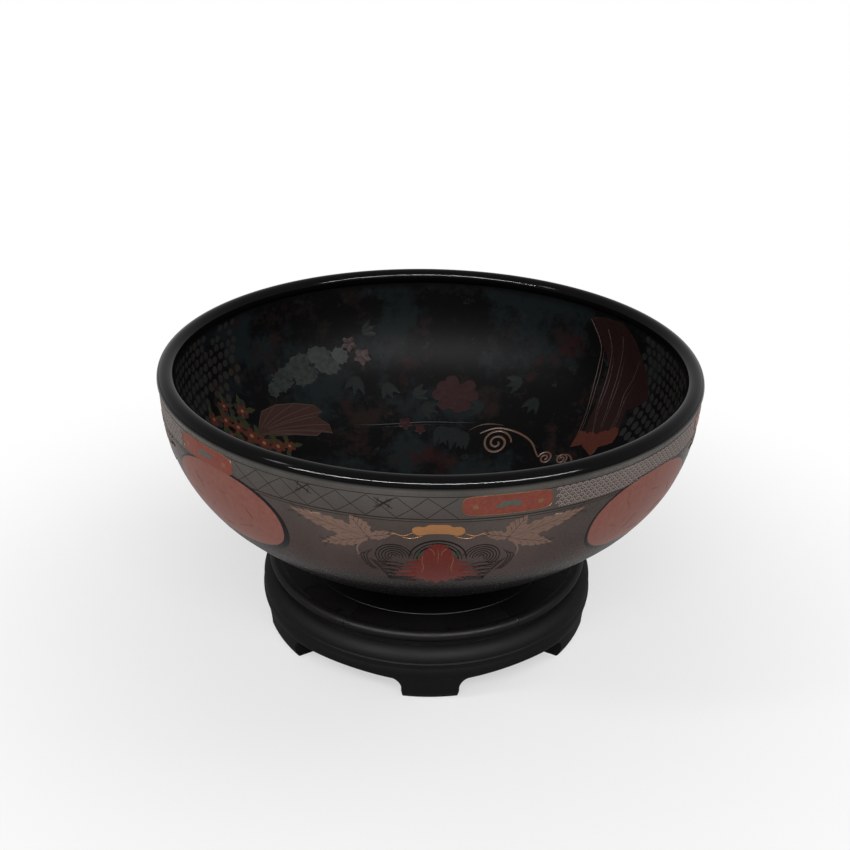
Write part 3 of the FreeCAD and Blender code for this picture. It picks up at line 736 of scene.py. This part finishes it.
cloud_lobes = [(-5.2, 0.9), (-3.4, -0.7), (-1.2, -1.5), (1.4, -1.2), (3.4, -1.5), (5.2, -0.1), (3.6, 1.1),
    (0.2, 0.7), (-3.0, 1.5)]
decorate("reserve_clouds", [moved(fill(curve(cloud_lobes + cloud_lobes[:1], 3)[:-1], 0.26, 0.16, 1.2, 0.7), 0,
    RESERVE_MIDDLE)], sage, 6, RESERVE_TURN)

# The four big oval medallions under the border: coral lacquer over a black edge, set a little lower and to
# the right so that the dark rim is widest at the lower right as a painted shadow, with a few brushed streaks
# where the coat is thin.
MEDALLION_TURN = 45.0
# coral red is broad, soft and satin; the black edge and painted shadow under it are polished; the brick is a
# thin coat
coral = painted("coral_red_lacquer", "#6a3830", "#7a4940", "#8a5a50", 2.2, 0.3)
black_edge_and_shadow = painted("black_edge_lacquer", "#0a0a0c", "#121114", "#1a181b", 0.5, 0.25)
decorate("medallion_edges", [moved(fill(oval(35.6, 20.0, 72, 2.2), 0.10, 0.05, 3.0), 0.6, 27.6)], black_edge_and_shadow,
    4, MEDALLION_TURN)
decorate("medallions", [moved(fill(oval(33.8, 18.2, 72, 2.2), 0.24, 0.12, 3.0, 3.0), 0, 26.8)], coral, 4,
    MEDALLION_TURN)
streaks = []
for x, y, turn, size in ((-14, 20, 62, 8), (-9, 31, -40, 9), (3, 19, 20, 7), (12, 33, -18, 10),
        (17, 24, 70, 6), (-2, 38, 8, 8), (-20, 29, 30, 6)):
    streaks.append(moved(stroke([(t * size / 6 - size / 2, 0.3 * math.sin(t)) for t in range(7)], 0.35, 0.30,
        0.2, 1.0), x, y, turn))
brick = painted("thin_brick_lacquer", "#46221e", "#522a26", "#603630", 0.5, 0.35)
decorate("medallion_streaks", streaks, brick, 4, MEDALLION_TURN)

# The leaf sprays between the medallions: four toothed leaves on a stem in pale copper-gold powder, with the
# veins left dark, one spray to each side of the middle figure.
# copper-gold powder sprinkled on wet lacquer: a pale metal, more matt than shiny
copper = painted("pale_copper_powder", "#4a3430", "#6e544a", "#806a5e", 0.35, 0.38, metallic=0.04,
    specular=0.05)


def leaf(length, half_width, teeth):
    """A toothed leaf that points along +x from its stalk."""
    side = []
    for i in range(teeth * 2 + 1):
        t = i / (teeth * 2)
        body = math.sin(math.pi * t ** 0.75) ** 0.85
        tooth = 1.0 if i % 2 else 0.76
        side.append((length * (t - (0.0 if i % 2 == 0 else 0.5 / (teeth * 3))), half_width * body * tooth))
    return side[:-1] + [(length, 0.0)] + [(x, -y) for x, y in reversed(side[1:-1])]


def veins(length, half_width, count):
    """The ribs of such a leaf."""
    ribs = [stroke([(length * t / 8, 0.15 * math.sin(t)) for t in range(8)], 0.3, 0.26, 0.18, 0.6)]
    for k in range(1, count + 1):
        at = length * k / (count + 1.2)
        for sign in (1, -1):
            ribs.append(stroke([(at, 0), (at + 0.12 * length, sign * 0.34 * half_width),
                (at + 0.18 * length, sign * 0.62 * half_width)], 0.22, 0.25, 0.18, 0.5))
    return ribs


SPRAY_ROOT = (27.0, 20.4)
LEAVES = ((33.0, 3.9, -13.0, 7), (11.5, 4.3, -52.0, 5), (21.0, 3.6, 19.0, 6), (11.0, 2.4, 196.0, 4))
spray, spray_veins = [], []
for length, half_width, turn, teeth in LEAVES:
    spray.append(moved(fill(leaf(length, half_width, teeth), 0.2, 0.07, 1.6, 1.0), *SPRAY_ROOT, turn))
    for rib in veins(length, half_width, teeth - 1):
        spray_veins.append(moved(rib, *SPRAY_ROOT, turn))
spray.append(stroke(curve([SPRAY_ROOT, (28.6, 22.4), (30.6, 24.6), (32.0, 27.6), (31.6, 31.0)]), 0.75, 0.22,
    taper=0.4))
decorate("leaf_sprays", both_sides(spray), copper, 4)
dark_vein = painted("dark_vein_lacquer", "#2c1e1c", "#362622", "#42302a", 0.4, 0.4)
decorate("leaf_veins", both_sides(spray_veins), dark_vein, 4)

# The middle figure: a lobed cloud in bright gold over a black arch, a red dome that breaks into rays below,
# and nested black whorls like water on both sides.
# finer gold powder, burnished: the brightest of the golds
bright_gold = painted("bright_gold_powder", "#5c3620", "#8c603c", "#aa7c54", 0.3, 0.3, metallic=0.06,
    specular=0.05)
cloud = curve([(-9.8, 17.0), (-10.0, 15.0), (-8.0, 13.9), (-5.4, 14.0), (-3.6, 13.0), (0, 12.9), (3.6, 13.0),
    (5.4, 14.0), (8.0, 13.9), (9.8, 15.0), (9.6, 17.0), (7.4, 18.1), (4.0, 17.3), (0, 17.1), (-4.0, 17.3),
    (-7.4, 18.1), (-9.8, 17.0)], 3)[:-1]
tails = both_sides([
    stroke(curve([(9.6, 16.8), (13.5, 18.6), (17.0, 17.8), (21.0, 18.8)]), 0.4, 0.16, taper=0.9),
    stroke(curve([(6.0, 18.2), (10.0, 19.6), (14.0, 19.2)]), 0.3, 0.14, taper=0.9),
])
decorate("gold_clouds", [fill(cloud, 0.26, 0.1, 1.6, 1.2)] + tails, bright_gold, 4)

# pure black lacquer, brushed in lines that shine a little
jet = painted("jet_line_lacquer", "#050505", "#0b0b0c", "#131214", 0.4, 0.25)
arch = [stroke(swept(range(0, 181, 9), half, top - foot_line, 0, foot_line), width, 0.16, taper=0.5)
    for half, top, foot_line, width in ((11.2, 20.6, 30.0, 0.8), (9.6, 22.0, 31.0, 0.5),
    (8.2, 23.4, 31.0, 0.9))]
whorls = [stroke(swept(range(turn - 200, turn + 60, 13), 1.05 * size, 0.95 * size, 17.4, 30.0), 0.5, 0.14,
    taper=0.5) for size, turn in ((1.0, 0), (2.2, 18), (3.4, 8), (4.6, 24), (5.8, 12), (7.0, 30))]
for k in range(9):
    y = 33.5 + 1.45 * k
    whorls.append(stroke(curve([(12.6 + 0.9 * k, y + 1.6), (18.0 + 0.2 * k, y + 0.2 + (k % 2) * 0.8),
        (24.0 - 0.4 * k, y + 1.0), (27.5 - k, y - 0.9)]), 0.45, 0.14, taper=0.6))
for k in range(3):
    whorls.append(stroke(curve([(26.0 + 1.3 * k, 27.0 + k), (28.4 + 1.2 * k, 31.0), (27.4 + k, 36.0),
        (24.6 + k, 40.0)]), 0.42, 0.14, taper=0.7))
    whorls.append(stroke(curve([(8.0, 45.4 + 1.2 * k), (14.0, 44.4 + 1.3 * k), (21.0, 45.2 + 1.2 * k)]), 0.5,
        0.14, taper=0.9))
decorate("black_arches_and_whorls", arch + both_sides(whorls), jet, 4)

# scarlet over black, worn through in specks
scarlet = painted("scarlet_lacquer", "#451915", "#5b201b", "#6c2c25", 0.9, 0.3)
dome = swept(range(180, -1, -15), 5.6, -6.2, 0, 28.4)
RAYS = ((8.2, 30.6), (6.4, 31.6), (13.0, 33.4), (7.8, 34.6), (17.0, 37.0), (8.8, 37.4), (19.6, 40.6),
    (9.4, 40.4), (18.4, 43.6), (8.4, 43.2), (12.6, 46.2), (5.8, 45.2), (4.4, 48.6), (2.2, 46.4))
flame = dome + list(RAYS) + [(0.0, 50.6)] + [(-x, y) for x, y in reversed(RAYS)]
decorate("scarlet_domes", [fill(list(reversed(flame)), 0.2, 0.1, 2.0, 1.4)], scarlet, 4)
seams = [stroke([(0, 25.0), (0.2, 29.0), (0, 33.0)], 0.35, 0.27, 0.2, 0.8)]
seams += both_sides([
    stroke(curve([(5.8, 28.6), (6.2, 32.0), (5.6, 36.0), (6.4, 40.0)]), 0.3, 0.27, 0.2, 0.7),
    stroke(curve([(3.4, 24.6), (1.9, 26.0), (1.2, 28.6)]), 0.28, 0.27, 0.2, 0.8),
])
decorate("dome_seams", seams, gold_line, 4)
# a dark matt green
moss = painted("moss_green_lacquer", "#1e261c", "#2c3626", "#3a4430", 0.6, 0.4)
sprig = [fill(curve([(sign * 9.0, 28.6), (sign * 7.4, 25.6), (sign * 6.6, 27.6), (sign * 7.2, 30.2),
    (sign * 9.0, 28.6)], 3)[:-1][::sign], 0.14, 0.06, 1.4, 0.8) for sign in (1, -1)]
decorate("moss_wedges", sprig, moss, 4)

# Inside, the painter's scene runs down the wall from under the lip: fields of grey river pebbles at both
# sides, laid one by one over the black ground.


def inner_radius(s):
    """How far the inner wall is from the axis, a distance down from the lip."""
    at = s + inner_lip
    for i in range(1, len(inner_run)):
        if inner_run[i] >= at:
            t = (at - inner_run[i - 1]) / (inner_run[i] - inner_run[i - 1])
            return inside[i - 1][0] + t * (inside[i][0] - inside[i - 1][0])
    return inside[-1][0]


def seated(part, degrees, s, turn=0.0, size=1.0):
    """Places a drawing on the inner wall at its true size, though the wall narrows towards the bottom."""
    points, faces = moved(part, 0, 0, turn, size)
    wide = BOWL_RADIUS / inner_radius(s)
    return [(degrees * DEGREE + x * wide, s + y, z) for x, y, z in points], faces


def on_wall(places):
    """Places given in degrees round the bowl and millimetres down the wall, as places on the flat drawing."""
    return [(degrees * DEGREE, s) for degrees, s in places]


def pebble(draw, width, height):
    """One rounded stone, no two alike."""
    lumps = [1 + draw.uniform(-0.14, 0.14) for _ in range(6)]
    return fill([(0.5 * width * lumps[i // 2] * math.cos(math.pi * i / 6),
        0.5 * height * lumps[i // 2] * math.sin(math.pi * i / 6)) for i in range(12)], 0.2, 0.08, 2.4, 1.2)


# the painting is worn, and one part of it: everything in it is laid once, turned a little with the bowl
INSIDE_TURN = -2.0


def dim(name, *looks, **more):
    """Paint of the worn scene inside, which hardly shines."""
    return painted(name, *looks, specular=0.03, **more)


def paint_inside(name, parts, finish):
    """Lays one colour of the scene on the inner wall."""
    decorate(name, parts, finish, 1, INSIDE_TURN, True)


PEBBLE_WIDTH = 5.2
draw = random.Random(7)
stones = []
for start_degrees, end_degrees, bottom in ((-119.0, -80.0, 56.0), (84.0, 112.0, 52.0)):
    s = 3.0
    row_number = 0
    while s < bottom:
        tall = 4.4 + 0.04 * s
        span = PEBBLE_WIDTH / DEGREE * BOWL_RADIUS / inner_radius(s)
        degrees = start_degrees + (row_number % 2) * span * 0.5
        while degrees < end_degrees:
            inward = (degrees - start_degrees) / (end_degrees - start_degrees)
            reach = bottom * (1 - abs(2 * inward - 1) ** 3 * 0.55) - 6 * math.sin(degrees * 0.35)
            if s < reach and draw.random() > 0.08:
                stones.append(seated(pebble(draw, PEBBLE_WIDTH * 0.86, tall * 0.84),
                    degrees + draw.uniform(-0.2, 0.2), s + draw.uniform(-0.3, 0.3), draw.uniform(-16, 16),
                    draw.uniform(0.82, 1.04)))
            degrees += span
        s += tall
        row_number += 1
# grey pigment sunk into the black
river_grey = dim("river_grey_lacquer", "#151515", "#222120", "#302f2d", 1.1, 0.4)
paint_inside("pebbles", stones, river_grey)

# The open fan on the left, in dull red over black, with pleats picked out in faded rose and a torn edge, and
# the blossoms and leaves beside it.
# old pigments, all matt and darkened: red on the fan and blossoms, rose powder, moss green
dull_red = dim("dull_red_lacquer", "#221615", "#33201d", "#3e2a26", 1.4, 0.4)
faded_rose = dim("faded_rose_powder", "#2c211e", "#40312c", "#50403a", 0.4, 0.4)
dim_moss = dim("dim_moss_lacquer", "#181c13", "#272b1b", "#343824", 0.7, 0.4)
blossom_red = dim("blossom_red_lacquer", "#301814", "#48211b", "#583026", 0.8, 0.35)
FAN_PIVOT = (-110.8, 62.4)
FAN_EDGE = ((-118.1, 53.9), (-124.4, 54.4), (-131.3, 58.0), (-137.7, 62.7), (-139.4, 67.8), (-136.3, 69.4),
    (-139.3, 76.1), (-138.7, 81.4), (-135.4, 78.1), (-131.9, 79.6), (-123.8, 73.6), (-116.3, 68.6))
fan = on_wall((FAN_PIVOT,) + FAN_EDGE)
paint_inside("fan", [fill(list(reversed(fan)), 0.2, 0.08, 2.4, 1.6)], dull_red)
pleats = []
for place in FAN_EDGE:
    near, far = on_wall([FAN_PIVOT, place])
    pleats.append(stroke([(near[0] + (far[0] - near[0]) * t / 6, near[1] + (far[1] - near[1]) * t / 6)
        for t in range(1, 7)], 0.5, 0.3, 0.2, 0.4))
pleats.append(stroke(on_wall(FAN_EDGE), 0.8, 0.3, 0.06))
paint_inside("fan_pleats", pleats, faded_rose)
petal = oval(1.9, 1.3, 12)
blooms, hearts, sprigs = [], [], []
for degrees, s, size in ((-98.6, 41.0, 1.0), (-103.0, 46.0, 1.2), (-105.5, 53.0, 1.1), (-107.5, 61.0, 1.4),
        (-109.5, 68.0, 1.3), (-113.5, 74.0, 1.2), (-118.0, 77.5, 1.0), (-106.0, 40.0, 0.9),
        (-111.5, 48.0, 1.1), (-100.5, 53.5, 0.8), (-102.5, 62.0, 0.9)):
    for k in range(5):
        a = 72 * k + 23 * size * degrees % 60
        lobe = moved(fill(petal, 0.22, 0.1, 1.4, 0.8), *swept([a], 2.0, 2.0)[0], a)
        blooms.append(seated(lobe, degrees, s, size=size))
    hearts.append(seated(fill(oval(0.9, 0.9, 10), 0.3, 0.2, 1.2, 0.6), degrees, s, size=size))
    for a in (35, 160, 250):
        green = moved(fill(leaf(6.4, 1.7, 3), 0.16, 0.06, 1.4, 0.8), *swept([a], 2.6, 2.6)[0], a)
        sprigs.append(seated(green, degrees, s, size=size))
paint_inside("blossoms", blooms, blossom_red)
paint_inside("blossom_hearts", hearts, gold_line)
paint_inside("blossom_leaves", sprigs, dim_moss)

# The hanging silk on the right: dark red cloth that falls in folds from the lip, each fold edged in faded
# rose, and ends in a brighter red swallowtail.
# an almost black red, cloudy like cloth
old_red = dim("old_red_lacquer", "#140d0d", "#201211", "#291817", 1.6, 0.4)
cloth = on_wall([(133.9, 5.0), (122.0, 1.2), (112.3, 14.8), (104.6, 29.8), (110.6, 42.0), (107.5, 53.4),
    (112.3, 62.2), (118.8, 64.3), (122.4, 45.3), (123.8, 26.7), (129.8, 15.1), (133.9, 5.0)])
paint_inside("silk_cloth", [fill(curve(cloth, 2)[:-1], 0.2, 0.06, 3.0, 2.0)], old_red)
tail = on_wall([(120.8, 64.5), (114.1, 60.0), (108.9, 50.3), (105.8, 58.8), (109.2, 65.6), (108.6, 71.7),
    (115.9, 70.4), (119.1, 74.9), (120.8, 64.5)])
paint_inside("silk_tail", [fill(curve(tail, 2)[:-1], 0.26, 0.1, 2.4, 1.2)], blossom_red)
folds = []
for places in (((133.0, 6.0), (128.5, 18.0), (127.5, 29.3), (125.7, 44.3), (120.7, 66.0)),
        ((127.0, 8.0), (124.5, 18.0), (123.5, 29.7), (121.3, 47.8), (115.9, 61.7)),
        ((121.5, 8.0), (120.6, 16.0), (120.1, 25.5), (118.4, 42.0), (114.8, 56.8)),
        ((113.5, 16.0), (113.8, 26.0), (114.5, 36.0), (112.0, 48.0), (110.8, 55.0))):
    folds.append(stroke(curve(on_wall(places), 5), 0.55, 0.3, 0.18, 0.5))
    folds.append(stroke(curve(on_wall([(d - 1.3, s + 2.0) for d, s in places[1:]]), 5), 0.35, 0.28, 0.18,
        0.7))
paint_inside("silk_folds", folds, faded_rose)


# The cloud scroll near the bottom: one thin gold line that curls up three times.
def curl(turns, start_radius, end_radius, begin, way=1):
    """A line that winds inwards."""
    steps = int(turns * 20)
    line = []
    for i in range(steps + 1):
        radius = start_radius + (end_radius - start_radius) * i / steps
        line += swept([begin + way * 18 * i], radius, radius)
    return line


# thin gold powder, browned with age
scroll_gold = painted("scroll_gold_powder", "#3a2b23", "#5c4336", "#6e5244", 0.35, 0.35, specular=0.1)
scroll = [seated(stroke(curl(2.1, 8.4, 1.0, 200), 1.25, 0.28, taper=0.25), 149.5, 90.5),
    seated(stroke(curl(1.7, 4.2, 0.8, 20, -1), 1.05, 0.28, taper=0.25), 124.8, 87.5),
    seated(stroke(curl(1.7, 3.6, 0.8, 160), 1.05, 0.28, taper=0.25), 118.0, 83.0),
    stroke(curve(on_wall([(158.0, 87.0), (152.0, 81.6), (144.0, 80.6), (136.0, 82.6), (130.5, 87.2),
    (128.0, 89.0)])), 1.1, 0.28, taper=0.3), stroke(curve(on_wall(
    [(121.4, 83.6), (117.0, 78.8), (112.6, 80.8), (110.4, 84.4)])), 0.9, 0.28, taper=0.5),
    stroke(curve(on_wall([(163.0, 86.4), (159.0, 82.0), (155.0, 80.0), (150.0, 79.0)])), 0.7, 0.26,
    taper=0.7)]
paint_inside("cloud_scroll", scroll, scroll_gold)

# The far wall: a mossy rock, a dark red peony with leaves under it, and the thin water line beneath them.
# grey-green pigment in broad soft blots
lichen = dim("lichen_grey_lacquer", "#0f1111", "#242927", "#303532", 3.0, 0.4, share=0.10)
lumps = []
for degrees, s, wide, tall, turn in ((-131.5, 43.5, 7.5, 5.5, 40), (-138.0, 38.5, 8.5, 5.6, 20),
        (-139.5, 45.5, 8.0, 4.8, 10), (-145.5, 36.0, 7.5, 5.0, -12), (-147.5, 42.5, 7.6, 5.2, -24),
        (-152.0, 38.5, 5.2, 4.4, -40), (-127.0, 46.5, 4.6, 3.6, 60)):
    bumpy = [(x * (1 + 0.13 * math.sin(2.3 * i + degrees)), y * (1 + 0.13 * math.sin(2.3 * i + degrees)))
        for i, (x, y) in enumerate(oval(wide, tall, 26, 2.2))]
    lumps.append(seated(fill(bumpy, 0.16 + 0.012 * (wide - 4.0), 0.04, 2.6, 2.2), degrees, s, turn))
paint_inside("mossy_rock", lumps, lichen)
tufts = []
for _ in range(46):
    degrees, s = draw.uniform(-152.0, -127.0), draw.uniform(33.0, 50.0)
    if abs((degrees + 139.5) / 13.0) ** 2 + abs((s - 41.5) / 8.0) ** 2 < 1.0:
        tufts.append(seated(fill(oval(0.9, 0.7, 10), 0.24, 0.14, 1.2, 0.6), degrees, s, 0,
            draw.uniform(0.7, 1.5)))
pale_lichen = dim("pale_lichen_lacquer", "#1c1f1e", "#2a2e2c", "#363a37", 0.6, 0.4)
paint_inside("rock_tufts", tufts, pale_lichen)
# a wine red that has nearly sunk away
wine = dim("wine_red_lacquer", "#1a1112", "#2a1617", "#341c1c", 1.2, 0.4)
petals = []
for ring_size, count, turn in ((8.6, 8, 10), (5.6, 7, 30), (2.2, 4, 0)):
    for k in range(count):
        a = 360 * k / count + turn + draw.uniform(-9, 9)
        crown = 0.16 + 0.05 * (8.6 - ring_size) / 4
        lobe = fill(oval(4.4 + draw.uniform(-0.8, 0.8), 3.6, 16, 2.6), crown, 0.05, 2.4, 1.4)
        place = swept([a], ring_size, 0.85 * ring_size)[0]
        petals.append(seated(moved(lobe, *place, a), 171.0, 65.5))
for degrees, s, size in ((-155.5, 33.0, 0.7), (-159.0, 41.0, 0.8), (-176.0, 88.0, 0.5), (-170.0, 84.0, 0.6)):
    for k in range(5):
        petals.append(seated(moved(fill(oval(3.4, 2.5, 14), 0.2, 0.06, 2.0, 1.2), 3.4 * math.cos(1.257 * k),
            3.4 * math.sin(1.257 * k), 72 * k), degrees, s, 20, size))
paint_inside("peonies", petals, wine)
foliage = []
for degrees, s, turn, size in ((176.0, 86.0, 110, 1.0), (169.0, 86.0, 80, 1.15), (164.0, 88.0, 64, 0.9),
        (183.0, 73.0, 150, 0.8), (186.0, 66.0, 190, 0.7), (160.0, 70.0, 10, 0.8), (-156.0, 52.0, 60, 0.9),
        (-165.0, 58.0, 100, 0.8), (-160.0, 28.0, 200, 0.7), (150.0, 50.0, 30, 0.8), (143.0, 58.0, 80, 0.8),
        (-128.0, 26.0, 240, 0.8)):
    for spread in (-28, 6, 38):
        foliage.append(seated(fill(leaf(13.0, 2.6, 4), 0.14, 0.05, 2.4, 1.2), degrees, s, turn + spread,
            size))
smoke_green = dim("smoke_green_lacquer", "#0f1111", "#161a1a", "#1d2221", 0.9, 0.4)
paint_inside("dim_leaves", foliage, smoke_green)
water = curve(on_wall([(-150.0, 80.5), (-156.3, 82.4), (-166.0, 83.6), (-176.7, 83.3), (-190.0, 82.6),
    (-199.1, 81.1)]))
ripple_line = stroke([(x, y + 1.8) for x, y in water[6:-6]], 0.35, 0.14, taper=0.8)
paint_inside("water_line", [stroke(water, 0.6, 0.16, taper=0.7), ripple_line], lichen)
